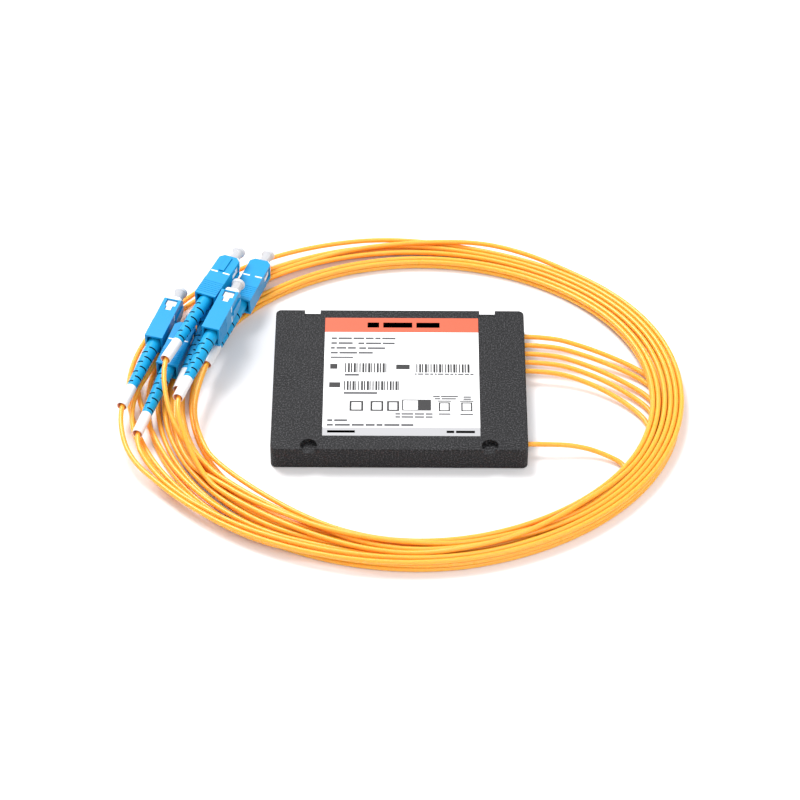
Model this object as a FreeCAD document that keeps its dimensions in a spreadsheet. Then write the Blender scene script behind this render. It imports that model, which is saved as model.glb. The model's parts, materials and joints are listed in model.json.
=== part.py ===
# Fibre splitter module: a flat moulded case with one input and five output fibres,
# each a 2 mm jacketed fibre wound into one loose coil and ended in a push-pull plug.
# Millimetres, +Z up, origin at the middle of the case's underside,
# +X along the case's long side, towards the fibre exits.
import FreeCAD, Part
import math
import os
import Sketcher

DIMENSIONS = {
    # moulded case
    "case_long": 100.0,
    "case_deep": 80.0,
    "case_high": 10.0,
    "case_corner": 2.2,
    "lid_thick": 2.2,
    "floor_thick": 1.6,
    "wall_thick": 2.0,
    "lip_thick": 1.0,
    "lip_high": 1.2,
    "lip_gap": 0.1,
    "edge_round": 0.5,
    "notch_off": 35.2,
    "notch_wide": 6.3,
    "notch_deep": 3.9,
    "pry_size": 3.3,
    "pry_inset": 2.5,
    "block_margin": 1.2,
    "label_left": 30.0,
    "label_right": 31.5,
    "label_front": 32.3,
    "label_back": 35.1,
    "label_thick": 0.12,
    # fibre exits and their anchors
    "exit_high": 5.0,
    "exit_first": 10.0,
    "exit_pitch": 5.0,
    "exit_input": 31.5,
    "jacket_size": 2.0,
    "jacket_play": 0.1,
    "anchor_deep": 6.0,
    "anchor_margin": 2.5,
    "anchor_high": 5.8,
    "jacket_grip": 4.0,
    # splitter package
    "steel_long": 40.0,
    "steel_wide": 7.0,
    "steel_high": 4.0,
    "steel_wall": 0.4,
    "steel_middle": 7.0,
    "cradle_long": 3.0,
    "cradle_inset": 6.0,
    "seal_long": 3.0,
    "chip_long": 14.0,
    "chip_wide": 6.0,
    "chip_thick": 2.4,
    "array_long": 6.0,
    "buffer_size": 0.9,
    "buffer_pitch": 1.2,
    "buffer_play": 0.05,
    "bend_start": -14.5,
    # plug, along its own axis from the tip of its sliding housing
    "plug_long": 25.0,
    "nose_long": 15.0,
    "grip_wide": 9.0,
    "grip_thick": 7.4,
    "nose_relief": 0.2,
    "nose_cut": 1.7,
    "shell_wall": 0.8,
    "frame_play": 0.1,
    "rib_pitch": 1.1,
    "rib_gap": 0.4,
    "rib_depth": 0.12,
    "rib_first": 1.2,
    "window_start": 2.1,
    "window_wide": 4.6,
    "window_long": 3.6,
    "slit_wide": 2.8,
    "slit_long": 2.6,
    "key_wide": 2.2,
    "key_long": 8.4,
    "key_start": 1.2,
    "key_high": 0.6,
    "frame_out": 0.8,
    "frame_long": 19.0,
    "frame_corner": 0.8,
    "mouth_size": 4.6,
    "mouth_deep": 7.0,
    "web_thick": 1.0,
    "chamber_size": 4.6,
    "catch_wide": 2.1,
    "catch_high": 0.5,
    "catch_start": 5.2,
    "catch_long": 2.9,
    "ferrule_size": 2.5,
    "ferrule_out": 1.0,
    "ferrule_play": 0.15,
    "ferrule_bevel": 0.3,
    "collar_size": 4.2,
    "collar_long": 2.0,
    "stem_size": 1.6,
    "stem_long": 3.0,
    "spring_wire": 0.45,
    "spring_size": 3.6,
    "spring_turns": 5.0,
    "spring_room": 6.0,
    "stop_long": 3.0,
    "stop_flange": 5.2,
    "stop_web": 1.0,
    "barrel_size": 3.4,
    "barrel_long": 6.0,
    "crimp_wall": 0.35,
    "crimp_long": 6.0,
    "crimp_play": 0.05,
    "boot_size": 5.6,
    "boot_straight": 30.0,
    "boot_end": 51.0,
    "boot_tail": 4.2,
    "boot_start": 20.6,
    "boot_room": 4.4,
    "boot_room_end": 28.8,
    "boot_turn": 45.0,
    "spigot_size": 3.4,
    "spigot_long": 1.4,
    "slot_first": 29.2,
    "slot_pitch": 2.8,
    "slot_gap": 0.7,
    "slot_core": 1.5,
    "slot_rows": 8.0,
    "sleeve_size": 4.3,
    "sleeve_bore": 3.5,
    "sleeve_long": 11.0,
    "cap_head": 5.4,
    "cap_head_thick": 1.6,
    "cap_stem": 4.2,
    "cap_tip": 8.0,
    "cap_inside": 4.6,
    "cap_play": 0.03,
    "cap_end_room": 0.6,
    # coil of the six jacketed fibres
    "coil_long": 224.0,
    "coil_deep": 189.0,
    "coil_across": 1.0,
    "coil_along": -2.0,
    "hole_long": 180.0,
    "hole_deep": 158.8,
    "hole_across": 9.0,
    "hole_along": -3.4,
    "coil_top": 5.1,
    "coil_rise_x": 0.0049,
    "coil_rise_y": -0.01,
    # how the plugs lie on the coil
    "rest_high": 5.0,
    "stack_gap": 0.1,
    "lead_straight": 10.0,
}

# Each plug: tip of the housing (x, y), level (1 lies on the plugs of level 0), direction of the axis from
# +X, and roll about the axis (0 has the key face up, 90 has it to the right, 180 has it down).
PLUGS = [
    {"tip": (-91.2, 43.4), "level": 0, "turn": 73.4, "roll": 90},
    {"tip": (-85.7, 29.3), "level": 0, "turn": 74.8, "roll": 0},
    {"tip": (-68.7, 59.4), "level": 1, "turn": 67.5, "roll": 0},
    {"tip": (-71.8, 53.5), "level": 0, "turn": 75.4, "roll": 90},
    {"tip": (-67.5, 38.6), "level": 1, "turn": 72.4, "roll": 90},
    {"tip": (-56.8, 67.0), "level": 0, "turn": 71.2, "roll": 180},
]

# Routes of the uncoiled stretches, as control points. A lead goes from its straight start at the
# case wall (two points, made from its exit) to its end under the coil, a tail starts behind the
# boot (two points on the plug's axis, made from its seat) and goes down into the coil.
LEADS = [
    [(74.0, 25.8, 3.6), (87.5, 19.8, 2.2), (99.3, 12.2, 1.0)],
    [(74.0, 20.9, 3.6), (87.8, 14.6, 2.2), (100.3, 6.6, 1.0)],
    [(74.5, 15.3, 3.6), (88.6, 7.6, 2.2), (100.9, -2.0, 1.0)],
    [(74.5, 10.7, 3.6), (89.0, 2.0, 2.2), (101.0, -9.4, 1.0)],
    [(74.5, 5.4, 3.6), (88.5, -3.8, 2.2), (99.8, -15.6, 1.0)],
    [(71.0, -31.2, 3.7), (82.8, -34.0, 2.2), (93.6, -39.4, 1.0)],
]
TAILS = [
    [(-105.5, -40.5, 6.2), (-90.8, -56.0, 5.2)],
    [(-95.6, -47.6, 6.0), (-85.6, -58.6, 5.2)],
    [(-89.0, -27.0, 10.2), (-73.6, -45.6, 5.4)],
    [(-87.5, -29.0, 6.4), (-80.3, -45.3, 5.2)],
    [(-80.5, -42.0, 10.0), (-70.5, -56.0, 5.2)],
    [(-81.5, -16.0, 6.4), (-76.0, -34.0, 5.2)],
]
TAIL_FIRST = 51.0
TAIL_SECOND = 66.0
FIBRES = len(PLUGS)
OUTPUTS = FIBRES - 1
BUFFER_SIDES = 8

doc = FreeCAD.newDocument("fibre_splitter")
sheet = doc.addObject("Spreadsheet::Sheet", "sizes")
for row, (alias, value) in enumerate(DIMENSIONS.items(), start=1):
    sheet.set("A%d" % row, alias)
    sheet.set("B%d" % row, str(value))
    sheet.setAlias("B%d" % row, alias)
doc.recompute()


def size(alias):
    return float(getattr(sheet, alias))


# ---------------------------------------------------------------- sketch and feature helpers

def vector(point):
    return FreeCAD.Vector(*point)


def new_body(label):
    body = doc.addObject("PartDesign::Body", label)
    body.Label = label
    return body


def new_sketch(body, plane, name, lift="0"):
    """A sketch on one of the body's own origin planes, lifted along the plane's normal."""
    sketch = body.newObject("Sketcher::SketchObject", name)
    origin_plane = [part for part in body.Origin.OriginFeatures if part.Role == plane][0]
    sketch.AttachmentSupport = [(origin_plane, "")]
    sketch.MapMode = "FlatFace"
    sketch.setExpression("AttachmentOffset.Base.z", lift)
    return sketch


def add_outline(sketch, corners):
    """A closed outline whose corners are pairs of expressions."""
    count = len(corners)
    first = sketch.GeometryCount
    ring = [FreeCAD.Vector(math.cos(2 * math.pi * i / count), math.sin(2 * math.pi * i / count), 0)
            for i in range(count)]
    for i in range(count):
        sketch.addGeometry(Part.LineSegment(ring[i], ring[(i + 1) % count]), False)
    for i in range(count):
        following = first + (i + 1) % count
        sketch.addConstraint(Sketcher.Constraint("Coincident", first + i, 2, following, 1))
    for i, (across, along) in enumerate(corners):
        fixed = sketch.addConstraint(Sketcher.Constraint("DistanceX", -1, 1, first + i, 1, ring[i].x))
        sketch.setExpression("Constraints[%d]" % fixed, across)
        fixed = sketch.addConstraint(Sketcher.Constraint("DistanceY", -1, 1, first + i, 1, ring[i].y))
        sketch.setExpression("Constraints[%d]" % fixed, along)


def add_rectangle(sketch, left, right, low, high):
    add_outline(sketch, [(left, low), (right, low), (right, high), (left, high)])


def add_circle(sketch, across, along, radius):
    ring = sketch.addGeometry(Part.Circle(FreeCAD.Vector(0, 0, 0), FreeCAD.Vector(0, 0, 1), 1.0), False)
    fixed = sketch.addConstraint(Sketcher.Constraint("Radius", ring, 1.0))
    sketch.setExpression("Constraints[%d]" % fixed, radius)
    fixed = sketch.addConstraint(Sketcher.Constraint("DistanceX", -1, 1, ring, 3, 1.0))
    sketch.setExpression("Constraints[%d]" % fixed, across)
    fixed = sketch.addConstraint(Sketcher.Constraint("DistanceY", -1, 1, ring, 3, 1.0))
    sketch.setExpression("Constraints[%d]" % fixed, along)


def pad(body, sketch, length, down=False):
    feature = body.newObject("PartDesign::Pad", sketch.Name + "_pad")
    feature.Profile = sketch
    feature.setExpression("Length", length)
    feature.Reversed = down
    return feature


def pocket(body, sketch, length, up=False):
    """Cuts against the sketch's normal, or along it with up."""
    feature = body.newObject("PartDesign::Pocket", sketch.Name + "_pocket")
    feature.Profile = sketch
    feature.setExpression("Length", length)
    feature.Reversed = up
    return feature


def turned(body, name, corners):
    """A round piece about the body's X axis: corners are (along X, radius)."""
    sketch = new_sketch(body, "XZ_Plane", name)
    add_outline(sketch, corners)
    feature = body.newObject("PartDesign::Revolution", name + "_turned")
    feature.Profile = sketch
    feature.ReferenceAxis = (sketch, ["H_Axis"])
    feature.Angle = 360.0
    return feature


def repeated(body, original, sketch, axis, length, count):
    feature = body.newObject("PartDesign::LinearPattern", original.Name + "_row")
    feature.Originals = [original]
    feature.Direction = (sketch, [axis])
    feature.setExpression("Length", length)
    feature.setExpression("Occurrences", count)
    body.Tip = feature
    return feature


# ---------------------------------------------------------------- moulded case

def corner_fillets(body, base_feature, radius):
    """Rounds the four upright corner edges of a plate."""
    doc.recompute()
    names = []
    for number, edge in enumerate(base_feature.Shape.Edges, start=1):
        box = edge.BoundBox
        upright = box.ZLength > 0.1 and box.XLength < 0.01 and box.YLength < 0.01
        outer = abs(abs(box.XMin) - size("case_long") / 2) < 0.01
        if upright and outer and abs(abs(box.YMin) - size("case_deep") / 2) < 0.01:
            names.append("Edge%d" % number)
    feature = body.newObject("PartDesign::Fillet", base_feature.Name + "_corners")
    feature.Base = (base_feature, names)
    feature.setExpression("Radius", radius)
    return feature


def rim_fillet(body, base_feature, height, radius):
    """Softens the outline edges of a plate at one height."""
    doc.recompute()
    names = []
    for number, edge in enumerate(base_feature.Shape.Edges, start=1):
        box = edge.BoundBox
        level = abs(box.ZMin - height) < 0.01 and abs(box.ZMax - height) < 0.01
        side = box.XMax > size("case_long") / 2 - 0.01 or box.XMin < -size("case_long") / 2 + 0.01
        front = box.YMax > size("case_deep") / 2 - 0.01 or box.YMin < -size("case_deep") / 2 + 0.01
        if level and (side or front):
            names.append("Edge%d" % number)
    feature = body.newObject("PartDesign::Fillet", base_feature.Name + "_rim")
    feature.Base = (base_feature, names)
    feature.setExpression("Radius", radius)
    return feature


def make_case_base():
    body = new_body("case_base")
    outline = new_sketch(body, "XY_Plane", "base_outline")
    add_rectangle(outline, "-sizes.case_long / 2", "sizes.case_long / 2",
                  "-sizes.case_deep / 2", "sizes.case_deep / 2")
    block = pad(body, outline, "sizes.case_high - sizes.lid_thick")
    corners = corner_fillets(body, block, "sizes.case_corner")
    rim_fillet(body, corners, 0.0, "sizes.edge_round")
    hollow = new_sketch(body, "XY_Plane", "base_hollow", "sizes.floor_thick")
    add_rectangle(hollow, "-sizes.case_long / 2 + sizes.wall_thick", "sizes.case_long / 2 - sizes.wall_thick",
                  "-sizes.case_deep / 2 + sizes.wall_thick", "sizes.case_deep / 2 - sizes.wall_thick")
    pocket(body, hollow, "sizes.case_high", up=True)
    # solid corner blocks close the floor of the lid's four pry notches
    blocks = new_sketch(body, "XY_Plane", "latch_blocks", "sizes.floor_thick / 2")
    half = "sizes.notch_wide / 2 + sizes.block_margin"
    for side in ("-", ""):
        middle = side + "sizes.notch_off"
        add_rectangle(blocks, middle + " - (%s)" % half, middle + " + " + half,
                      "sizes.case_deep / 2 - sizes.notch_deep - sizes.block_margin",
                      "sizes.case_deep / 2 - sizes.wall_thick / 2")
        add_rectangle(blocks, middle + " - (sizes.pry_size + sizes.block_margin)",
                      middle + " + sizes.pry_size + sizes.block_margin",
                      "-sizes.case_deep / 2 + sizes.wall_thick / 2",
                      "-sizes.case_deep / 2 + sizes.pry_inset + sizes.pry_size + sizes.block_margin")
    pad(body, blocks, "sizes.case_high - sizes.lid_thick - sizes.floor_thick / 2")
    # two cradles carry the steel package at the height of the fibre exits
    cradles = new_sketch(body, "XY_Plane", "package_cradles", "sizes.floor_thick / 2")
    for side in ("-", "+"):
        middle = "sizes.steel_middle %s (sizes.steel_long / 2 - sizes.cradle_inset)" % side
        add_rectangle(cradles, middle + " - sizes.cradle_long / 2", middle + " + sizes.cradle_long / 2",
                      "-sizes.exit_input - sizes.steel_wide / 2", "-sizes.exit_input + sizes.steel_wide / 2")
    pad(body, cradles, "sizes.exit_high - sizes.steel_high / 2 - sizes.floor_thick / 2")
    exits = new_sketch(body, "YZ_Plane", "fibre_exits", "sizes.case_long / 2 - sizes.wall_thick * 1.5")
    for number in range(OUTPUTS):
        add_circle(exits, "sizes.exit_first + %d * sizes.exit_pitch" % number, "sizes.exit_high",
                   "sizes.jacket_size / 2 + sizes.jacket_play")
    add_circle(exits, "-sizes.exit_input", "sizes.exit_high", "sizes.jacket_size / 2 + sizes.jacket_play")
    pocket(body, exits, "sizes.wall_thick * 2", up=True)
    return body


def make_case_lid():
    body = new_body("case_lid")
    outline = new_sketch(body, "XY_Plane", "lid_outline", "sizes.case_high - sizes.lid_thick")
    add_rectangle(outline, "-sizes.case_long / 2", "sizes.case_long / 2",
                  "-sizes.case_deep / 2", "sizes.case_deep / 2")
    plate = pad(body, outline, "sizes.lid_thick")
    corners = corner_fillets(body, plate, "sizes.case_corner")
    rim_fillet(body, corners, size("case_high"), "sizes.edge_round")
    notches = new_sketch(body, "XY_Plane", "pry_notches", "sizes.case_high - sizes.lid_thick")
    for side in ("-", ""):
        middle = side + "sizes.notch_off"
        add_rectangle(notches, middle + " - sizes.notch_wide / 2", middle + " + sizes.notch_wide / 2",
                      "sizes.case_deep / 2 - sizes.notch_deep", "sizes.case_deep / 2 + sizes.notch_deep")
    pocket(body, notches, "sizes.lid_thick", up=True)
    scoops = new_sketch(body, "XY_Plane", "pry_scoops", "sizes.case_high - sizes.lid_thick")
    for side in ("-", ""):
        add_circle(scoops, side + "sizes.notch_off", "-sizes.case_deep / 2 + sizes.pry_inset",
                   "sizes.pry_size")
    pocket(body, scoops, "sizes.lid_thick", up=True)
    # locating ribs hang just inside the base's walls, clear of the corner blocks
    ribs = new_sketch(body, "XY_Plane", "locating_ribs", "sizes.case_high - sizes.lid_thick")
    reach = "sizes.notch_off - sizes.pry_size - 2 * sizes.block_margin"
    outer = "sizes.case_deep / 2 - sizes.wall_thick - sizes.lip_gap"
    add_rectangle(ribs, "-(%s)" % reach, reach, outer + " - sizes.lip_thick", outer)
    add_rectangle(ribs, "-(%s)" % reach, reach, "-(%s)" % outer, "-(%s) + sizes.lip_thick" % outer)
    side_out = "sizes.case_long / 2 - sizes.wall_thick - sizes.lip_gap"
    side_reach = "sizes.case_deep / 2 - sizes.notch_deep - 4 * sizes.block_margin"
    add_rectangle(ribs, "-(%s)" % side_out, "-(%s) + sizes.lip_thick" % side_out,
                  "-(%s)" % side_reach, side_reach)
    pad(body, ribs, "sizes.lip_high", down=True)
    return body


def make_label():
    body = new_body("label")
    outline = new_sketch(body, "XY_Plane", "label_outline", "sizes.case_high")
    add_rectangle(outline, "-sizes.label_left", "sizes.label_right", "-sizes.label_front", "sizes.label_back")
    pad(body, outline, "sizes.label_thick")
    return body


def make_jacket_anchors():
    """Two drilled blocks behind the exits that hold the ends of the jackets."""
    body = new_body("jacket_anchors_row")
    stock = new_sketch(body, "XY_Plane", "row_block", "sizes.floor_thick")
    inner_wall = "sizes.case_long / 2 - sizes.wall_thick"
    last = "sizes.exit_first + %d * sizes.exit_pitch" % (OUTPUTS - 1)
    add_rectangle(stock, inner_wall + " - sizes.anchor_deep", inner_wall,
                  "sizes.exit_first - sizes.anchor_margin", last + " + sizes.anchor_margin")
    pad(body, stock, "sizes.anchor_high")
    bores = new_sketch(body, "YZ_Plane", "row_bores", inner_wall + " - 2 * sizes.anchor_deep")
    for number in range(OUTPUTS):
        add_circle(bores, "sizes.exit_first + %d * sizes.exit_pitch" % number, "sizes.exit_high",
                   "sizes.jacket_size / 2 + sizes.jacket_play")
    pocket(body, bores, "sizes.anchor_deep * 3", up=True)
    single = new_body("jacket_anchors_single")
    stock = new_sketch(single, "XY_Plane", "single_block", "sizes.floor_thick")
    add_rectangle(stock, inner_wall + " - sizes.anchor_deep", inner_wall,
                  "-sizes.exit_input - sizes.anchor_margin", "-sizes.exit_input + sizes.anchor_margin")
    pad(single, stock, "sizes.anchor_high")
    bore = new_sketch(single, "YZ_Plane", "single_bore", inner_wall + " - 2 * sizes.anchor_deep")
    add_circle(bore, "-sizes.exit_input", "sizes.exit_high", "sizes.jacket_size / 2 + sizes.jacket_play")
    pocket(single, bore, "sizes.anchor_deep * 3", up=True)
    return grouped("jacket_anchors", [body, single])


# ---------------------------------------------------------------- splitter package in the case

def across_package(name, body, wide, high, start, length):
    """A block across the package's axis, centred on the input exit."""
    section = new_sketch(body, "YZ_Plane", name, start)
    add_rectangle(section, "-sizes.exit_input - (%s) / 2" % wide, "-sizes.exit_input + (%s) / 2" % wide,
                  "sizes.exit_high - (%s) / 2" % high, "sizes.exit_high + (%s) / 2" % high)
    return pad(body, section, length)


def add_buffer_holes(body, name, start, length, count):
    section = new_sketch(body, "YZ_Plane", name, start)
    for number in range(count):
        offset = number - (count - 1) / 2
        add_circle(section, "-sizes.exit_input + %g * sizes.buffer_pitch" % offset, "sizes.exit_high",
                   "sizes.buffer_size / 2 + sizes.buffer_play")
    return pocket(body, section, length, up=True)


def make_splitter_tube():
    body = new_body("splitter_tube")
    start = "sizes.steel_middle - sizes.steel_long / 2"
    across_package("steel_outside", body, "sizes.steel_wide", "sizes.steel_high", start, "sizes.steel_long")
    inside = new_sketch(body, "YZ_Plane", "steel_inside", start + " - 1")
    half_wide = "(sizes.steel_wide / 2 - sizes.steel_wall)"
    half_high = "(sizes.steel_high / 2 - sizes.steel_wall)"
    add_rectangle(inside, "-sizes.exit_input - " + half_wide, "-sizes.exit_input + " + half_wide,
                  "sizes.exit_high - " + half_high, "sizes.exit_high + " + half_high)
    pocket(body, inside, "sizes.steel_long + 2", up=True)
    return body


def make_tube_seals():
    """Soft end seals: the five-fibre one at the left end, the single one at the right."""
    wide = "sizes.steel_wide - 2 * sizes.steel_wall"
    high = "sizes.steel_high - 2 * sizes.steel_wall"
    left = new_body("tube_seal_left")
    left_start = "sizes.steel_middle - sizes.steel_long / 2"
    across_package("left_seal", left, wide, high, left_start, "sizes.seal_long")
    add_buffer_holes(left, "left_seal_holes", left_start + " - 1", "sizes.seal_long + 2", OUTPUTS)
    right = new_body("tube_seal_right")
    right_start = "sizes.steel_middle + sizes.steel_long / 2 - sizes.seal_long"
    across_package("right_seal", right, wide, high, right_start, "sizes.seal_long")
    add_buffer_holes(right, "right_seal_hole", right_start + " - 1", "sizes.seal_long + 2", 1)
    return grouped("tube_end_seals", [left, right])


def make_splitter_chip():
    body = new_body("splitter_chip")
    across_package("chip_section", body, "sizes.chip_wide", "sizes.chip_thick",
                   "sizes.steel_middle - sizes.chip_long / 2", "sizes.chip_long")
    return body


def make_fibre_arrays():
    """Grooved blocks glued to the chip's two ends, which hold the fibres in line with it."""
    left = new_body("fibre_array_left")
    across_package("left_array", left, "sizes.chip_wide", "sizes.chip_thick",
                   "sizes.steel_middle - sizes.chip_long / 2 - sizes.array_long", "sizes.array_long")
    right = new_body("fibre_array_right")
    across_package("right_array", right, "sizes.chip_wide", "sizes.chip_thick",
                   "sizes.steel_middle + sizes.chip_long / 2", "sizes.array_long")
    return grouped("fibre_arrays", [left, right])


def make_inner_fibres():
    """Buffered fibres from the package to the jackets: the outputs turn back in one wide bend."""
    radius = size("buffer_size") / 2
    high = size("exit_high")
    reach = size("chip_long") / 2 + size("array_long")
    jacket_end = size("case_long") / 2 - size("wall_thick") - size("jacket_grip")
    bend = size("bend_start")
    fibres = []
    for number in range(OUTPUTS):
        inner_y = -size("exit_input") + ((OUTPUTS - 1) / 2 - number) * size("buffer_pitch")
        outer_y = size("exit_first") + number * size("exit_pitch")
        turn = (outer_y - inner_y) / 2
        start = vector((size("steel_middle") - reach, inner_y, high))
        low = vector((bend, inner_y, high))
        far = vector((bend - turn, inner_y + turn, high))
        top = vector((bend, outer_y, high))
        end = vector((jacket_end, outer_y, high))
        path = Part.Wire([Part.LineSegment(start, low).toShape(), Part.Arc(low, far, top).toShape(),
                          Part.LineSegment(top, end).toShape()])
        fibres.append(swept_ring(path, polygon_ring(start, radius, BUFFER_SIDES)))
    start = vector((size("steel_middle") + reach, -size("exit_input"), high))
    end = vector((jacket_end, -size("exit_input"), high))
    fibres.append(Part.makeCylinder(radius, end.x - start.x, start, FreeCAD.Vector(1, 0, 0)))
    feature = doc.addObject("Part::Feature", "inner_fibres")
    feature.Shape = Part.makeCompound(fibres)
    feature.Label = "inner_fibres"
    return feature


# ---------------------------------------------------------------- one plug, along +X from its tip

def make_coupling_sleeve():
    """The sliding outer housing: a rectangular shell with two windows, a key and grip ribs."""
    body = new_body("plug_coupling_sleeve")
    grip = new_sketch(body, "YZ_Plane", "grip_section", "-sizes.plug_long")
    add_rectangle(grip, "-sizes.grip_wide / 2", "sizes.grip_wide / 2",
                  "-sizes.grip_thick / 2", "sizes.grip_thick / 2")
    pad(body, grip, "sizes.plug_long - sizes.nose_long")
    nose = new_sketch(body, "XY_Plane", "nose_outline", "-sizes.grip_thick / 2 + sizes.nose_relief / 2")
    side = "(sizes.grip_wide / 2 - sizes.nose_relief / 2)"
    add_outline(nose, [("-sizes.nose_long", "-" + side), ("-sizes.nose_cut", "-" + side),
                       ("0", "-%s + sizes.nose_cut" % side), ("0", "%s - sizes.nose_cut" % side),
                       ("-sizes.nose_cut", side), ("-sizes.nose_long", side)])
    pad(body, nose, "sizes.grip_thick - sizes.nose_relief")
    key = new_sketch(body, "XY_Plane", "key_outline", "sizes.grip_thick / 2 - sizes.shell_wall / 2")
    add_rectangle(key, "-sizes.key_start - sizes.key_long", "-sizes.key_start",
                  "-sizes.key_wide / 2", "sizes.key_wide / 2")
    pad(body, key, "sizes.key_high + sizes.shell_wall / 2 - sizes.nose_relief / 2")
    cavity = new_sketch(body, "YZ_Plane", "sleeve_cavity", "-sizes.plug_long - 1")
    wide = "(sizes.grip_wide / 2 - sizes.shell_wall)"
    thick = "(sizes.grip_thick / 2 - sizes.shell_wall)"
    add_rectangle(cavity, "-" + wide, wide, "-" + thick, thick)
    pocket(body, cavity, "sizes.plug_long + 2", up=True)
    windows = new_sketch(body, "XZ_Plane", "side_windows", "-sizes.grip_wide")
    start = "-sizes.window_start"
    shoulder = "-sizes.window_start - sizes.window_long"
    end = shoulder + " - sizes.slit_long"
    add_outline(windows, [(start, "-sizes.window_wide / 2"), (start, "sizes.window_wide / 2"),
                          (shoulder, "sizes.window_wide / 2"), (shoulder, "sizes.slit_wide / 2"),
                          (end, "sizes.slit_wide / 2"), (end, "-sizes.slit_wide / 2"),
                          (shoulder, "-sizes.slit_wide / 2"), (shoulder, "-sizes.window_wide / 2")])
    pocket(body, windows, "2 * sizes.grip_wide", up=True)
    first = "-sizes.plug_long + sizes.rib_first"
    groove = new_sketch(body, "XZ_Plane", "grip_groove", "-sizes.grip_wide")
    add_rectangle(groove, first, first + " + sizes.rib_gap",
                  "sizes.grip_thick / 2 - sizes.rib_depth", "sizes.grip_thick / 2 + sizes.rib_depth")
    add_rectangle(groove, first, first + " + sizes.rib_gap",
                  "-sizes.grip_thick / 2 - sizes.rib_depth", "-sizes.grip_thick / 2 + sizes.rib_depth")
    cut = pocket(body, groove, "2 * sizes.grip_wide", up=True)
    room = "(sizes.plug_long - sizes.nose_long - 2 * sizes.rib_first)"
    steps = "floor(%s / sizes.rib_pitch)" % room
    repeated(body, cut, groove, "H_Axis", steps + " * sizes.rib_pitch", steps + " + 1")
    return body


def make_plug_frame():
    """The inner housing: open mouth for the adapter, a web, and a chamber for the spring."""
    body = new_body("plug_inner_frame")
    section = new_sketch(body, "YZ_Plane", "frame_section", "sizes.frame_out - sizes.frame_long")
    wide = "(sizes.grip_wide / 2 - sizes.shell_wall - sizes.frame_play)"
    thick = "(sizes.grip_thick / 2 - sizes.shell_wall - sizes.frame_play)"
    cut = "sizes.frame_corner"
    add_outline(section, [("-%s + %s" % (wide, cut), "-" + thick), ("%s - %s" % (wide, cut), "-" + thick),
                          (wide, "-%s + %s" % (thick, cut)), (wide, "%s - %s" % (thick, cut)),
                          ("%s - %s" % (wide, cut), thick), ("-%s + %s" % (wide, cut), thick),
                          ("-" + wide, "%s - %s" % (thick, cut)), ("-" + wide, "-%s + %s" % (thick, cut))])
    pad(body, section, "sizes.frame_long")
    catches = new_sketch(body, "XZ_Plane", "window_catches",
                         "-(%s + sizes.catch_high)" % wide)
    add_rectangle(catches, "-sizes.catch_start - sizes.catch_long", "-sizes.catch_start",
                  "-sizes.catch_wide / 2", "sizes.catch_wide / 2")
    pad(body, catches, "2 * (%s + sizes.catch_high)" % wide)
    mouth = new_sketch(body, "YZ_Plane", "frame_mouth", "sizes.frame_out")
    add_circle(mouth, "0", "0", "sizes.mouth_size / 2")
    pocket(body, mouth, "sizes.mouth_deep")
    guide = new_sketch(body, "YZ_Plane", "ferrule_guide", "sizes.frame_out")
    add_circle(guide, "0", "0", "sizes.ferrule_size / 2 + sizes.ferrule_play")
    pocket(body, guide, "sizes.frame_long")
    chamber = new_sketch(body, "YZ_Plane", "spring_chamber",
                         "sizes.frame_out - sizes.mouth_deep - sizes.web_thick")
    add_circle(chamber, "0", "0", "sizes.chamber_size / 2")
    pocket(body, chamber, "sizes.frame_long")
    return body


COLLAR_FRONT = "(sizes.frame_out - sizes.mouth_deep - sizes.web_thick)"
COLLAR_BACK = "(%s - sizes.collar_long)" % COLLAR_FRONT
STOP_FRONT = "(%s - sizes.spring_room)" % COLLAR_BACK
FRAME_BACK = "(sizes.frame_out - sizes.frame_long)"


def make_ferrule():
    body = new_body("plug_ferrule")
    pin = "sizes.ferrule_size / 2"
    turned(body, "ferrule_profile", [
        (COLLAR_BACK + " - sizes.stem_long", "0"), ("sizes.ferrule_out", "0"),
        ("sizes.ferrule_out", pin + " - sizes.ferrule_bevel"), ("sizes.ferrule_out - sizes.ferrule_bevel", pin),
        (COLLAR_FRONT, pin), (COLLAR_FRONT, "sizes.collar_size / 2"),
        (COLLAR_BACK, "sizes.collar_size / 2"), (COLLAR_BACK, "sizes.stem_size / 2"),
        (COLLAR_BACK + " - sizes.stem_long", "sizes.stem_size / 2")])
    return body


def make_stop_ring():
    """Closes the frame behind the spring; its barrel takes the crimp."""
    body = new_body("plug_stop_ring")
    inner = "sizes.jacket_size / 2 + sizes.jacket_play"
    seat = "sizes.chamber_size / 2 - sizes.frame_play"
    web_back = FRAME_BACK + " - sizes.stop_web"
    turned(body, "stop_profile", [
        (web_back + " - sizes.barrel_long", inner), (STOP_FRONT, inner), (STOP_FRONT, seat),
        (FRAME_BACK, seat), (FRAME_BACK, "sizes.stop_flange / 2"), (web_back, "sizes.stop_flange / 2"),
        (web_back, "sizes.barrel_size / 2"), (web_back + " - sizes.barrel_long", "sizes.barrel_size / 2")])
    return body


def make_crimp_sleeve():
    body = new_body("plug_crimp_sleeve")
    front = FRAME_BACK + " - sizes.stop_web - sizes.crimp_play"
    inner = "sizes.barrel_size / 2 + sizes.crimp_play"
    outer = inner + " + sizes.crimp_wall"
    turned(body, "crimp_profile", [
        (front + " - sizes.crimp_long", inner), (front, inner), (front, outer),
        (front + " - sizes.crimp_long", outer)])
    return body


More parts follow.
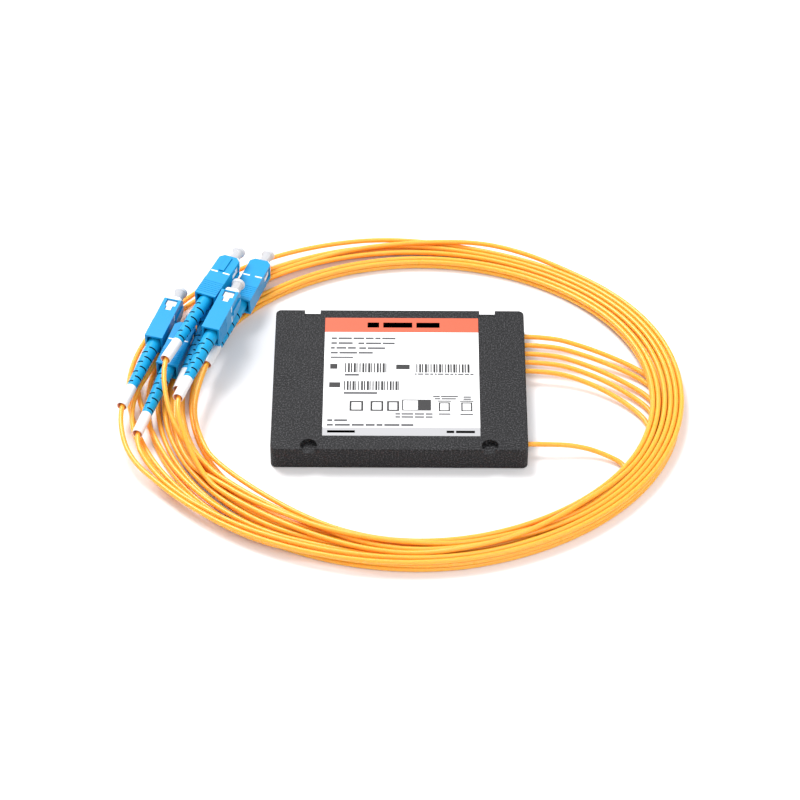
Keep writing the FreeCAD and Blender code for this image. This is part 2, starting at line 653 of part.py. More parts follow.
def make_boot():
    """The flexible strain relief, with staggered slots cut from four sides."""
    body = new_body("plug_boot")
    bore = "sizes.jacket_size / 2 + sizes.jacket_play"
    turned(body, "boot_profile", [
        ("-sizes.boot_end - sizes.spigot_long", bore), ("-sizes.boot_room_end", bore),
        ("-sizes.boot_room_end", "sizes.boot_room / 2"), ("-sizes.boot_start", "sizes.boot_room / 2"),
        ("-sizes.boot_start", "sizes.boot_size / 2"), ("-sizes.boot_straight", "sizes.boot_size / 2"),
        ("-sizes.boot_end", "sizes.boot_tail / 2"), ("-sizes.boot_end", "sizes.spigot_size / 2"),
        ("-sizes.boot_end - sizes.spigot_long", "sizes.spigot_size / 2")])
    for plane, shift in (("XZ_Plane", 0), ("XY_Plane", 1)):
        slots = new_sketch(body, plane, "slots_" + plane[:2].lower(), "-sizes.boot_size")
        first = "-sizes.slot_first - %d * sizes.slot_pitch" % shift
        for side in ("", "-"):
            near = "%ssizes.slot_core" % side
            far = "%ssizes.boot_size" % side
            low, high = (near, far) if side == "" else (far, near)
            add_rectangle(slots, first + " - sizes.slot_gap", first, low, high)
        cut = pocket(body, slots, "2 * sizes.boot_size", up=True)
        row = repeated(body, cut, slots, "H_Axis",
                       "(sizes.slot_rows / 2 - 1) * 2 * sizes.slot_pitch", "sizes.slot_rows / 2")
        row.Reversed = True
    return body


def make_marker_sleeve():
    body = new_body("plug_marker_sleeve")
    turned(body, "sleeve_profile", [
        ("-sizes.boot_end - sizes.sleeve_long", "sizes.sleeve_bore / 2"),
        ("-sizes.boot_end", "sizes.sleeve_bore / 2"), ("-sizes.boot_end", "sizes.sleeve_size / 2"),
        ("-sizes.boot_end - sizes.sleeve_long", "sizes.sleeve_size / 2")])
    return body


def make_dust_cap():
    """A soft cap: its stem covers the ferrule inside the plug's mouth, its disc is the pull."""
    body = new_body("plug_dust_cap")
    bore = "sizes.ferrule_size / 2 + sizes.cap_play"
    turned(body, "cap_profile", [
        ("-sizes.cap_inside", bore), ("sizes.ferrule_out + sizes.cap_end_room", bore),
        ("sizes.ferrule_out + sizes.cap_end_room", "0"), ("sizes.cap_tip", "0"),
        ("sizes.cap_tip", "sizes.cap_head / 2"), ("sizes.cap_tip - sizes.cap_head_thick", "sizes.cap_head / 2"),
        ("sizes.cap_tip - sizes.cap_head_thick", "sizes.cap_stem / 2"), ("-sizes.cap_inside", "sizes.cap_stem / 2")])
    return body


def make_spring():
    """A compression spring about +Z: a helix with a square wire section."""
    helix = doc.addObject("Part::Helix", "spring_line")
    helix.setExpression("Pitch", "(sizes.spring_room - sizes.spring_wire * 1.5) / sizes.spring_turns")
    helix.setExpression("Height", "sizes.spring_room - sizes.spring_wire * 1.5")
    helix.setExpression("Radius", "(sizes.spring_size - sizes.spring_wire) / 2")
    helix.SegmentLength = 0
    section = doc.addObject("Part::RegularPolygon", "spring_wire_section")
    section.Polygon = 4
    section.setExpression("Circumradius", "sizes.spring_wire * 0.7")
    section.setExpression("Placement.Base.x", "(sizes.spring_size - sizes.spring_wire) / 2")
    section.Placement.Rotation = FreeCAD.Rotation(FreeCAD.Vector(1, 0, 0), 90)
    sweep = doc.addObject("Part::Sweep", "plug_spring")
    doc.recompute()
    sweep.Sections = [section]
    sweep.Spine = (helix, ["Edge%d" % (n + 1) for n in range(len(helix.Shape.Edges))])
    sweep.Solid = True
    sweep.Frenet = True
    sweep.Label = "plug_spring"
    return sweep


def spring_seat():
    """Stands the spring on the collar's back, pointing along the plug's axis."""
    back = size("frame_out") - size("mouth_deep") - size("web_thick") - size("collar_long")
    start = back - size("spring_room") + size("spring_wire") * 0.75
    return FreeCAD.Placement(FreeCAD.Vector(start, 0, 0), FreeCAD.Rotation(FreeCAD.Vector(0, 1, 0), 90))


# ---------------------------------------------------------------- jacketed fibres

def swept_ring(path, ring):
    return path.makePipeShell([ring], True, True)


def polygon_ring(start, radius, sides):
    """A regular polygon across +X, with a circle's radius to its corners."""
    corners = [start + FreeCAD.Vector(0, radius * math.cos(2 * math.pi * n / sides),
                                      radius * math.sin(2 * math.pi * n / sides)) for n in range(sides)]
    return Part.makePolygon(corners + corners[:1])


def rounded_path(points, name, held):
    """Straight runs joined by tangent arcs, after a straight held stretch."""
    along = (points[0] - points[1]).normalize()
    edges = []
    last = points[0] + along * held
    radii = []
    for before, corner, after in zip(points, points[1:], points[2:]):
        into = corner - before
        out = after - corner
        half_turn = into.getAngle(out) / 2
        tangent = 0.45 * min(into.Length, out.Length)
        radius = tangent / math.tan(half_turn)
        radii.append(round(radius, 1))
        start = corner - into.normalize() * tangent
        end = corner + out.normalize() * tangent
        middle = (start + end) / 2
        centre = corner + (middle - corner).normalize() * (radius / math.cos(half_turn))
        top = centre + (corner - centre).normalize() * radius
        edges.append(Part.LineSegment(last, start).toShape())
        edges.append(Part.Arc(start, top, end).toShape())
        last = end
    edges.append(Part.LineSegment(last, points[-1]).toShape())
    print("route", name, "radii", radii)
    return Part.Wire(edges)


def jacket_tube(points, name, held):
    points = [vector(p) for p in points]
    path = rounded_path(points, name, held)
    radius = size("jacket_size") / 2
    start = path.Edges[0].Vertexes[0].Point
    tube = swept_ring(path, Part.Wire(Part.makeCircle(radius, start, points[1] - points[0])))
    expected = math.pi * radius ** 2 * path.Length
    print("tube", name, "length %.1f" % path.Length, "volume ratio %.4f" % (tube.Volume / expected))
    return tube


def exit_along(number):
    """Where along the case's side a fibre comes out: the outputs from the back, then the input."""
    if number < OUTPUTS:
        return size("exit_first") + (OUTPUTS - 1 - number) * size("exit_pitch")
    return -size("exit_input")


def make_pigtail(number, seat):
    """The uncoiled stretches of one jacketed fibre, as two tubes."""
    grip = size("wall_thick") + size("jacket_grip")
    straight = [(size("case_long") / 2 + reach, exit_along(number), size("exit_high"))
                for reach in (0, size("lead_straight"))]
    lead = jacket_tube(straight + LEADS[number], "lead_%d" % (number + 1), grip)
    behind_boot = [tuple(seat.multVec(FreeCAD.Vector(-reach, 0, 0))) for reach in (TAIL_FIRST, TAIL_SECOND)]
    barrel_back = size("frame_long") - size("frame_out") + size("stop_web") + size("barrel_long")
    tail = jacket_tube(behind_boot + TAILS[number], "tail_%d" % (number + 1), TAIL_FIRST - barrel_back)
    feature = doc.addObject("Part::Feature", "pigtail_%d" % (number + 1))
    feature.Shape = Part.makeCompound([lead, tail])
    feature.Label = "pigtail_%d" % (number + 1)
    return feature


def add_ellipse(sketch, across, along, long_size, deep_size):
    centre = FreeCAD.Vector(size(across), size(along), 0)
    major = centre + FreeCAD.Vector(size(long_size) / 2, 0, 0)
    minor = centre + FreeCAD.Vector(0, size(deep_size) / 2, 0)
    curve = sketch.addGeometry(Part.Ellipse(major, minor, centre), False)
    sketch.addConstraint(Sketcher.Constraint("Block", curve))


def make_fibre_coil():
    """The wound turns of all six fibres as one flat crescent ring, lower where they fan out."""
    body = new_body("fibre_coil_block")
    ring = new_sketch(body, "XY_Plane", "coil_outline")
    add_ellipse(ring, "coil_across", "coil_along", "coil_long", "coil_deep")
    add_ellipse(ring, "hole_across", "hole_along", "hole_long", "hole_deep")
    pad(body, ring, "2 * sizes.coil_top")
    above = doc.addObject("Part::Box", "space_above_coil")
    above.setExpression("Length", "2 * sizes.coil_long")
    above.setExpression("Width", "2 * sizes.coil_deep")
    above.setExpression("Height", "4 * sizes.coil_top")
    tilt = FreeCAD.Rotation(FreeCAD.Vector(0, 0, 1),
                            FreeCAD.Vector(-size("coil_rise_x"), -size("coil_rise_y"), 1))
    corner = tilt.multVec(FreeCAD.Vector(-size("coil_long"), -size("coil_deep"), 0))
    above.Placement = FreeCAD.Placement(corner + FreeCAD.Vector(0, 0, size("coil_top")), tilt)
    cut = doc.addObject("Part::Cut", "fibre_coil")
    cut.Base = body
    cut.Tool = above
    cut.Label = "fibre_coil"
    return cut


# ---------------------------------------------------------------- assembly

def grouped(label, pieces):
    group = doc.addObject("Part::Compound", label)
    group.Links = pieces
    group.Label = label
    return group


def placed(master, label, placement):
    copy = doc.addObject("App::Link", label)
    copy.LinkedObject = master
    copy.Placement = placement
    copy.Label = label
    return copy


def plug_height(plug):
    """Height of the plug's axis, from the face that it lies on."""
    below = {0: size("grip_thick") / 2, 90: size("grip_wide") / 2,
             180: size("grip_thick") / 2 + size("key_high")}
    level = plug["level"] * (size("grip_wide") + size("stack_gap"))
    return size("rest_high") + level + below[plug["roll"]]


def plug_seat(plug):
    upright = FreeCAD.Rotation(FreeCAD.Vector(0, 0, 1), plug["turn"])
    rolled = FreeCAD.Rotation(FreeCAD.Vector(1, 0, 0), plug["roll"])
    place = FreeCAD.Vector(plug["tip"][0], plug["tip"][1], plug_height(plug))
    return FreeCAD.Placement(place, upright * rolled)


def build():
    parts = [make_case_base(), make_case_lid(), make_label(), make_jacket_anchors(), make_splitter_tube(),
             make_tube_seals(), make_splitter_chip(), make_fibre_arrays(), make_inner_fibres(),
             make_fibre_coil()]
    masters = {"coupling_sleeve": make_coupling_sleeve(), "plug_frame": make_plug_frame(),
               "ferrule": make_ferrule(), "marker_sleeve": make_marker_sleeve(),
               "dust_cap": make_dust_cap()}
    boot = make_boot()
    boot_seat = FreeCAD.Placement(FreeCAD.Vector(), FreeCAD.Rotation(FreeCAD.Vector(1, 0, 0), size("boot_turn")))
    spring = make_spring()
    stop_ring = make_stop_ring()
    crimp = make_crimp_sleeve()
    rings = []
    crimps = []
    for number, plug in enumerate(PLUGS):
        seat = plug_seat(plug)
        for name, master in masters.items():
            parts.append(placed(master, "%s_%d" % (name, number + 1), seat))
        parts.append(placed(boot, "boot_%d" % (number + 1), seat * boot_seat))
        parts.append(placed(spring, "spring_%d" % (number + 1), seat * spring_seat()))
        rings.append(placed(stop_ring, "stop_ring_copy_%d" % (number + 1), seat))
        crimps.append(placed(crimp, "crimp_sleeve_copy_%d" % (number + 1), seat))
        parts.append(make_pigtail(number, seat))
    parts.append(grouped("stop_rings", rings))
    parts.append(grouped("crimp_sleeves", crimps))
    return parts


def check_and_write(parts):
    doc.recompute()
    for item in doc.Objects:
        if "Invalid" in item.State or "Error" in item.State:
            raise RuntimeError("%s did not build: %s" % (item.Label, item.State))
    shapes = {}
    for item in parts:
        shape = Part.getShape(item)
        if shape.isNull() or not shape.isValid() or not shape.Solids:
            raise RuntimeError("%s has no valid solid" % item.Label)
        shapes[item.Label] = shape
    os.makedirs("parts", exist_ok=True)
    for label, shape in sorted(shapes.items()):
        shape.exportStep(os.path.join("parts", label + ".step"))
    print(len(shapes), "nodes,", sum(len(shape.Solids) for shape in shapes.values()), "solids")


check_and_write(build())
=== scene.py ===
"""Looks of the boxed fibre splitter: the six wound fibres, finishes, boots, label, floor, light and camera.

Places and sizes on the object are in millimetres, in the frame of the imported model, and MM turns them into
metres. Angles are in degrees. The floor, the lights and the camera are given in metres.
"""

import json
import math

import bpy
from mathutils import Matrix, Vector


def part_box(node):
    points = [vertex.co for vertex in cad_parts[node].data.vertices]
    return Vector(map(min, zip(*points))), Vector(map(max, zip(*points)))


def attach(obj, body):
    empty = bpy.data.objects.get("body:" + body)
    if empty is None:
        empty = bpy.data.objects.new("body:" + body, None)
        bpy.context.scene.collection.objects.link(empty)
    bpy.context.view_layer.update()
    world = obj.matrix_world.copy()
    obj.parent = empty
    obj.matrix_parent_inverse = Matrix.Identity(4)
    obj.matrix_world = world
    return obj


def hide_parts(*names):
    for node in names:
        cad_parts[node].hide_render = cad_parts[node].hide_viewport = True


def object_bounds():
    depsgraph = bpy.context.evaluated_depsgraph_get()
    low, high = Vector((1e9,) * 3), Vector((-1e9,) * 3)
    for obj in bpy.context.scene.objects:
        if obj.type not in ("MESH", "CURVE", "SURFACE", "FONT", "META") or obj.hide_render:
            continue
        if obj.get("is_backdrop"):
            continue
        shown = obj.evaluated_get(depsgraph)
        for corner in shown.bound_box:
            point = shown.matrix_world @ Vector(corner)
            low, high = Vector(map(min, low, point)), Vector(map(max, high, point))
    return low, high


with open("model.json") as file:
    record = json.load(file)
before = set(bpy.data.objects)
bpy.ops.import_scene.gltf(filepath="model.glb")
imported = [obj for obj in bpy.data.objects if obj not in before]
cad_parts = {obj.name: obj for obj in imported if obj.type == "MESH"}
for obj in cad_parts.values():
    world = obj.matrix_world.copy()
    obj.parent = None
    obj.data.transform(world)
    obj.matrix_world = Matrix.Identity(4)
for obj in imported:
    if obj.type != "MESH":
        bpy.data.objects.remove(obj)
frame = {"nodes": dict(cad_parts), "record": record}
size_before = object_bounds()

MM = 0.001
FIBRES = range(1, 7)

# ---------------------------------------------------------------------------------------------------------
# The six fibres
# ---------------------------------------------------------------------------------------------------------

FIBRE_DIAMETER = 2.0 * MM

# How far into the case the jackets reach: the case ends at x 50
HOLD_X = 45.0

# Tip of each plug, height of its axis, the way it points and its turn about its own axis
PLUGS = {
    1: ((-91.2, 43.4), 9.5, 73.4, 90.0),
    2: ((-85.7, 29.3), 8.7, 74.8, 0.0),
    3: ((-68.7, 59.4), 17.8, 67.5, 0.0),
    4: ((-71.8, 53.5), 9.5, 75.4, 90.0),
    5: ((-67.5, 38.6), 18.6, 72.4, 90.0),
    6: ((-56.8, 67.0), 9.3, 71.2, 180.0),
}

# From the exit holes in the case to the coil
LEADS = {
    1: [(50, 30, 5), (60, 30, 5), (74, 25.8, 3.6), (87.5, 19.8, 2.2), (99.3, 12.2, 1.0)],
    2: [(50, 25, 5), (60, 25, 5), (74, 20.9, 3.6), (87.8, 14.6, 2.2), (100.3, 6.6, 1.0)],
    3: [(50, 20, 5), (60, 20, 5), (74.5, 15.3, 3.6), (88.6, 7.6, 2.2), (100.9, -2.0, 1.0)],
    4: [(50, 15, 5), (60, 15, 5), (74.5, 10.7, 3.6), (89.0, 2.0, 2.2), (101.0, -9.4, 1.0)],
    5: [(50, 10, 5), (60, 10, 5), (74.5, 5.4, 3.6), (88.5, -3.8, 2.2), (99.2, -15.9, 1.0)],
    6: [(50, -31.5, 5), (60, -31.5, 5), (68.5, -31.3, 4.1), (77.8, -32.9, 2.6), (89.8, -39.6, 1.0)],
}

# From the coil to the plug, which the fibre enters along the plug's own axis, through points TAIL_AXIS behind
# its tip
TAILS = {
    1: [(-90.8, -56.0, 5.2), (-105.5, -40.5, 6.2)],
    2: [(-85.6, -58.6, 5.2), (-95.6, -47.6, 6.0)],
    3: [(-73.6, -45.6, 5.4), (-89.0, -27.0, 10.2)],
    4: [(-80.3, -45.3, 5.2), (-87.5, -29.0, 6.4)],
    5: [(-75.4, -50.2, 6.6), (-81.0, -41.0, 10.4)],
    6: [(-76.0, -34.0, 5.2), (-81.5, -16.0, 6.4)],
}
TAIL_AXIS = (66.0, 51.0, 46.0)

# The coil lies between two ellipses: centre and half axes
COIL_OUTER = ((1.0, -2.0), (111.8, 94.4))
COIL_INNER = ((9.0, -3.4), (90.0, 79.4))
COIL_STEP = 10.0

# Heights of the first two layers; the third lies as far above the second
LAYER_Z = (1.0, 3.1)

# A layer has one slot for each fibre, this far apart at least and this far from the coil's edges
SLOTS = 6
STRAND_PITCH = 2.09
EDGE = 1.1

# The free width is shared out over the gaps beside the slots, and each gap has its own wave round the coil:
# speed and start of the wave, and the least share
WAVES = ((0.71, 0.3), (0.43, 2.6), (0.93, 4.4), (0.57, 1.2), (0.83, 5.3), (0.37, 3.5), (0.64, 0.9))
WAVE_LEAST = 0.12

# In the first turn the outermost gap is wider by this share, which fades between these angles
LOOSE_FIRST = 45.0
LOOSE_FADE = (-420.0, -480.0)

# Stretches of the coil where the fibres lie in bundles: middle angle, half length, and the shares of the free
# width outside the first slot, between the slots and inside the last one
REGIONS = (
    (-262.0, 26.0, (1.0, 0.02, 0.02, 1.1, 0.02, 0.02, 0.02)),
    (-622.0, 26.0, (0.02, 1.0, 0.02, 0.02, 1.1, 0.02, 0.02)),
)
REGION_FADE = 25.0

# Angle round the coil, which falls as the fibre is wound, and depth inside the coil's outer edge where each
# fibre comes into the coil's first layer, and where it leaves the last one. The fibre takes FAN_IN degrees to
# come to its slot, and FAN_OUT degrees to leave it.
ENTERS = {
    1: (10.2, 12.2),
    2: (6.2, 12.2),
    3: (0.0, 12.1),
    4: (-5.3, 11.6),
    5: (-9.7, 12.4),
    6: (-26.0, 12.3),
}
FAN_IN = 21.0
LEAVES = {
    1: (-857.0, 1.1),
    2: (-855.0, 3.6),
    3: (-858.0, 20.2),
    4: (-858.0, 17.9),
    5: (-856.5, 14.7),
    6: (-864.0, 24.5),
}
FAN_OUT = 50.0

# Each turn rises to the next layer at the back of the right side, before it meets the fibres that come in
RISES = ((-300.0, -344.0), (-660.0, -704.0))

# Where one fibre crosses over its neighbours: start and end angle, the fibre on top, and how many slots each
# one moves. The fibre on top rises and falls over CROSS_RAMP degrees.
CROSSINGS = (
    (-520.0, -552.0, 1, {1: 2.0, 2: -1.0, 3: -1.0}),
    (-622.0, -652.0, 1, {1: -2.0, 2: 1.0, 3: 1.0}),
    (-765.0, -793.0, 5, {5: -2.0, 3: 1.0, 4: 1.0}),
    (-812.0, -836.0, 4, {4: -1.0, 3: 1.0}),
)
CROSS_RAMP = 15.0
CROSS_HEIGHT = 2.1


def smooth(value, start, end):
    """Runs from 0 at start to 1 at end, level at both."""
    part = min(1.0, max(0.0, (value - start) / (end - start)))
    return part * part * (3.0 - 2.0 * part)


def progress(angle, start, end):
    """Runs from 0 to 1 as the fibre is wound from the start angle to the end angle."""
    return smooth(-angle, -start, -end)


def on_ellipse(ellipse, angle):
    (centre_x, centre_y), (half_x, half_y) = ellipse
    turn = math.radians(angle)
    return Vector((centre_x + half_x * math.cos(turn), centre_y + half_y * math.sin(turn)))


def inward(angle):
    """The unit vector into the coil, square to its outer edge."""
    turn = math.radians(angle)
    half_x, half_y = COIL_OUTER[1]
    return -Vector((half_y * math.cos(turn), half_x * math.sin(turn))).normalized()


def band_width(angle):
    """How far it is across the coil from its outer edge to its inner one."""
    start, way = on_ellipse(COIL_OUTER, angle), inward(angle)
    (centre_x, centre_y), (half_x, half_y) = COIL_INNER
    place = Vector(((start.x - centre_x) / half_x, (start.y - centre_y) / half_y))
    slope = Vector((way.x / half_x, way.y / half_y))
    a, b, c = slope.dot(slope), place.dot(slope), place.dot(place) - 1.0
    return (-b - math.sqrt(b * b - a * c)) / a


def gap_share(slot, angle):
    """How much of the coil's free width lies outside a slot: it drifts as the fibres go round."""
    weights = []
    for speed, start in WAVES:
        wave = 0.5 + 0.5 * math.sin(speed * math.radians(angle) + start)
        weights.append(WAVE_LEAST + wave ** 2)
    weights[0] *= 1.0 + LOOSE_FIRST * (1.0 - progress(angle, *LOOSE_FADE))
    for middle, half, shares in REGIONS:
        here = 1.0 - smooth(abs(angle - middle), half, half + REGION_FADE)
        weights = [weight * (1.0 - here) + share * here for weight, share in zip(weights, shares)]
    return sum(weights[: slot + 1]) / sum(weights)


def slot_depth(slot, angle):
    """How far a slot's fibre lies inside the coil's outer edge."""
    free = band_width(angle) - 2.0 * EDGE - (SLOTS - 1) * STRAND_PITCH
    below, share = math.floor(slot), slot - math.floor(slot)
    above = min(SLOTS - 1, below + 1)
    spread = gap_share(below, angle) * (1.0 - share) + gap_share(above, angle) * share
    return EDGE + STRAND_PITCH * slot + max(0.0, free) * spread


def slot_of(fibre, angle):
    """The fibre's place in its layer, 0 outermost."""
    slot = fibre - 1.0
    for start, end, over, moves in CROSSINGS:
        slot += moves.get(fibre, 0.0) * progress(angle, start, end)
    return slot


def height(fibre, angle):
    """The height of the fibre's axis: its layer's, and more where it crosses over its neighbours."""
    level = LAYER_Z[0]
    for start, end in RISES:
        level += (LAYER_Z[1] - LAYER_Z[0]) * progress(angle, start, end)
    for start, end, over, moves in CROSSINGS:
        if fibre == over:
            lifted = progress(angle, start + CROSS_RAMP, start)
            level += CROSS_HEIGHT * lifted * (1.0 - progress(angle, end, end - CROSS_RAMP))
    return level


def depth(fibre, angle):
    """How far the fibre lies inside the coil's outer edge, from where it comes in to where it leaves."""
    start, start_depth = ENTERS[fibre]
    end, end_depth = LEAVES[fibre]
    fanned_in = max(0.0, 1.0 - (start - angle) / FAN_IN) ** 2
    fanned_out = progress(angle, end + FAN_OUT, end)
    settled = slot_depth(slot_of(fibre, angle), angle)
    return settled + (start_depth - settled) * fanned_in + (end_depth - settled) * fanned_out


def coil_points(fibre):
    """Control points of the fibre's turns: the spline runs inside them, so they stand out by its sag."""
    sag = 1.0 / math.cos(math.radians(COIL_STEP / 2.0))
    start, end = ENTERS[fibre][0], LEAVES[fibre][0]
    steps = round((start - end) / COIL_STEP)
    centre = Vector(COIL_OUTER[0])
    points = []
    for number in range(1, steps + 1):
        angle = start + (end - start) * number / steps
        flat = on_ellipse(COIL_OUTER, angle) + inward(angle) * depth(fibre, angle)
        flat = centre + (flat - centre) * sag
        points.append((flat.x, flat.y, height(fibre, angle)))
    return points


def plug_axis(fibre, behind):
    """A point on the plug's axis, so far behind its tip."""
    (x, y), high, turn, roll = PLUGS[fibre]
    way = Vector((math.cos(math.radians(turn)), math.sin(math.radians(turn))))
    return (x - way.x * behind, y - way.y * behind, high)


def fibre_route(fibre):
    """Control points of the whole fibre, from inside the case to inside the boot."""
    lead = [(HOLD_X, LEADS[fibre][0][1], LEADS[fibre][0][2])] + LEADS[fibre][1:]
    tail = TAILS[fibre] + [plug_axis(fibre, behind) for behind in TAIL_AXIS]
    return lead + coil_points(fibre) + tail


def make_fibre(fibre):
    """A round tube: its points carry its radius, so that the curve's bounds are the tube's."""
    curve = bpy.data.curves.new(f"fibre_{fibre}", "CURVE")
    curve.dimensions = "3D"
    curve.resolution_u = 8
    curve.bevel_depth = 1.0
    curve.bevel_resolution = 3
    curve.use_fill_caps = True
    points = fibre_route(fibre)
    spline = curve.splines.new("NURBS")
    spline.points.add(len(points) - 1)
    for place, point in zip(spline.points, points):
        place.co = (point[0] * MM, point[1] * MM, point[2] * MM, 1.0)
        place.radius = FIBRE_DIAMETER / 2.0
    spline.order_u = 3
    spline.use_endpoint_u = True
    piece = bpy.data.objects.new(f"fibre_{fibre}", curve)
    bpy.context.scene.collection.objects.link(piece)
    return piece


fibres = {}
for number in FIBRES:
    fibres[number] = make_fibre(number)
    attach(fibres[number], "root")
    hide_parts(f"pigtail_{number}", *(["fibre_coil"] if number == 1 else []))
    lead_start = LEADS[number][0]
    tuple(value * MM for value in lead_start)

# ---------------------------------------------------------------------------------------------------------
# Finishes
# ---------------------------------------------------------------------------------------------------------


def linear(red, green, blue):
    """A colour given as 0 to 255 screen values."""
    steps = [value / 255.0 for value in (red, green, blue)]
    return tuple(s / 12.92 if s <= 0.04045 else ((s + 0.055) / 1.055) ** 2.4 for s in steps) + (1.0,)


def plain_finish(name, colour, roughness, more):
    """A finish from the principled shader; more holds its other inputs."""
    material = bpy.data.materials.new(name)
    material.use_nodes = True
    shader = material.node_tree.nodes["Principled BSDF"]
    shader.inputs["Base Color"].default_value = linear(*colour)
    shader.inputs["Roughness"].default_value = roughness
    for key, value in more.items():
        shader.inputs[key].default_value = value
    return material


def add_noise(material, scale, detail=2.0):
    """A noise texture over the piece's own place, in points per metre."""
    nodes, links = material.node_tree.nodes, material.node_tree.links
    place = nodes.new("ShaderNodeTexCoord")
    noise = nodes.new("ShaderNodeTexNoise")
    noise.inputs["Scale"].default_value = scale
    noise.inputs["Detail"].default_value = detail
    links.new(place.outputs["Object"], noise.inputs["Vector"])
    return noise


def add_grain(material, scale, strength, depth):
    """Fine moulded grain, as a bump of that depth."""
    nodes, links = material.node_tree.nodes, material.node_tree.links
    noise = add_noise(material, scale)
    bump = nodes.new("ShaderNodeBump")
    bump.inputs["Strength"].default_value = strength
    bump.inputs["Distance"].default_value = depth
    links.new(noise.outputs["Fac"], bump.inputs["Height"])
    links.new(bump.outputs["Normal"], nodes["Principled BSDF"].inputs["Normal"])


def add_wear(material, scale, change):
    """Handling marks: the roughness goes up and down a little over the piece."""
    nodes, links = material.node_tree.nodes, material.node_tree.links
    shader = nodes["Principled BSDF"]
    roughness = shader.inputs["Roughness"].default_value
    noise = add_noise(material, scale)
    spread = nodes.new("ShaderNodeMapRange")
    spread.inputs["To Min"].default_value = roughness - change
    spread.inputs["To Max"].default_value = roughness + change
    links.new(noise.outputs["Fac"], spread.inputs["Value"])
    links.new(spread.outputs["Result"], shader.inputs["Roughness"])


def add_speckle(material, scale, low, high, start, end):
    """Two tones of the base colour in small spots."""
    nodes, links = material.node_tree.nodes, material.node_tree.links
    noise = add_noise(material, scale, 4.0)
    ramp = nodes.new("ShaderNodeValToRGB")
    ramp.color_ramp.elements[0].position = start
    ramp.color_ramp.elements[0].color = linear(*low)
    ramp.color_ramp.elements[1].position = end
    ramp.color_ramp.elements[1].color = linear(*high)
    links.new(noise.outputs["Fac"], ramp.inputs["Fac"])
    links.new(ramp.outputs["Color"], nodes["Principled BSDF"].inputs["Base Color"])


# How far red, green and blue light spreads in the jackets, as shares of the subsurface scale
JACKET_GLOW = (1.0, 0.4, 0.1)

# Colour on the screen, roughness and other inputs of each finish
LOOKS = {
    "case_plastic": ((36, 36, 38), 0.6, {"Specular IOR Level": 0.2}),
    "label_film": ((240, 240, 241), 0.45, {}),
    "anchor_plastic": ((40, 40, 42), 0.5, {}),
    "package_steel": ((190, 190, 195), 0.3, {"Metallic": 1.0}),
    "seal_rubber": ((30, 30, 30), 0.7, {}),
    "silica": ((220, 228, 230), 0.1, {}),
    "buffer_plastic": ((235, 235, 230), 0.4, {}),
    "jacket": (
        (255, 174, 60),
        0.3,
        {"Subsurface Weight": 0.6, "Subsurface Scale": 0.003, "Subsurface Radius": JACKET_GLOW},
    ),
    "plug_blue": ((4, 144, 202), 0.36, {"Specular IOR Level": 0.3}),
    "plug_white": ((236, 236, 235), 0.4, {}),
    "zirconia": ((245, 245, 240), 0.2, {}),
    "plug_metal": ((200, 200, 205), 0.3, {"Metallic": 1.0}),
    "boot_blue": ((8, 152, 206), 0.42, {"Specular IOR Level": 0.3}),
    # Painted shade: the boot's slot floors and walls are near-black blue, standing in for the shade inside
    # the slots
    "boot_slot_painted_shade": ((5, 28, 48), 0.7, {}),
    "marker_white": ((230, 229, 230), 0.45, {}),
    # Painted reflection: the white tube's inside is orange where the jacket's light would fall on it
    "marker_inside": ((214, 150, 122), 0.6, {}),
    "cap_clear": ((218, 219, 223), 0.28, {"Transmission Weight": 0.15}),
    "label_orange": ((208, 88, 56), 0.45, {}),
    "label_grey": ((172, 172, 175), 0.45, {}),
    "label_print": ((22, 21, 24), 0.5, {}),
    "label_light_print": ((78, 78, 82), 0.5, {}),
    "dash_white": ((248, 248, 248), 0.5, {}),
}

# Moulded or rolled grain of each finish: points per metre, strength and depth
GRAIN = {
    "case_plastic": (2600.0, 0.6, 0.12 * MM),
    "jacket": (700.0, 0.12, 0.05 * MM),
    "plug_blue": (900.0, 0.12, 0.03 * MM),
    "boot_blue": (1200.0, 0.2, 0.04 * MM),
    "package_steel": (1800.0, 0.25, 0.02 * MM),
    "seal_rubber": (1500.0, 0.5, 0.08 * MM),
}
PLAIN_GRAIN = (1100.0, 0.08, 0.02 * MM)

# Handling marks: points per metre and change of roughness
WEAR = (120.0, 0.07)

# Spots in the case's plastic: points per metre, the two tones, and the range of the noise between them
CASE_SPECKLE = (1700.0, (22, 22, 24), (80, 80, 83), 0.48, 0.74)

FINISHES = {name: plain_finish(name, *look) for name, look in LOOKS.items()}
for name, material in FINISHES.items():
    add_grain(material, *GRAIN.get(name, PLAIN_GRAIN))
    add_wear(material, *WEAR)
add_speckle(FINISHES["case_plastic"], *CASE_SPECKLE)


def paint(piece, finish):
    piece.data.materials.clear()
    piece.data.materials.append(FINISHES[finish])


for part in frame["record"]["subparts"]:
    paint(frame["nodes"][part["node"]], part["material_slot"])
for number in FIBRES:
    paint(fibres[number], "jacket")

# ---------------------------------------------------------------------------------------------------------
# Pieces of the plugs: boots with their slots, marker sleeves, dust caps and the housings' white dashes
# ---------------------------------------------------------------------------------------------------------

# Profiles turned about the plug's axis: how far in front of its tip, and how far out from the axis
CAP_PROFILE = [
    (-4.6, 1.4), (-4.6, 2.1), (6.3, 2.1), (6.45, 2.45), (6.6, 2.62), (6.9, 2.7),
    (7.7, 2.7), (7.93, 2.62), (8.0, 2.4), (7.9, 1.9), (7.75, 0.0),
]
MARKER_OUTSIDE = [
    (-51.0, 1.75), (-51.0, 2.12), (-51.05, 2.15), (-61.92, 2.15), (-62.0, 2.1), (-62.0, 1.85),
]
MARKER_INSIDE = [(-62.0, 1.85), (-61.9, 1.75), (-51.0, 1.75)]
LATHE_STEPS = 48

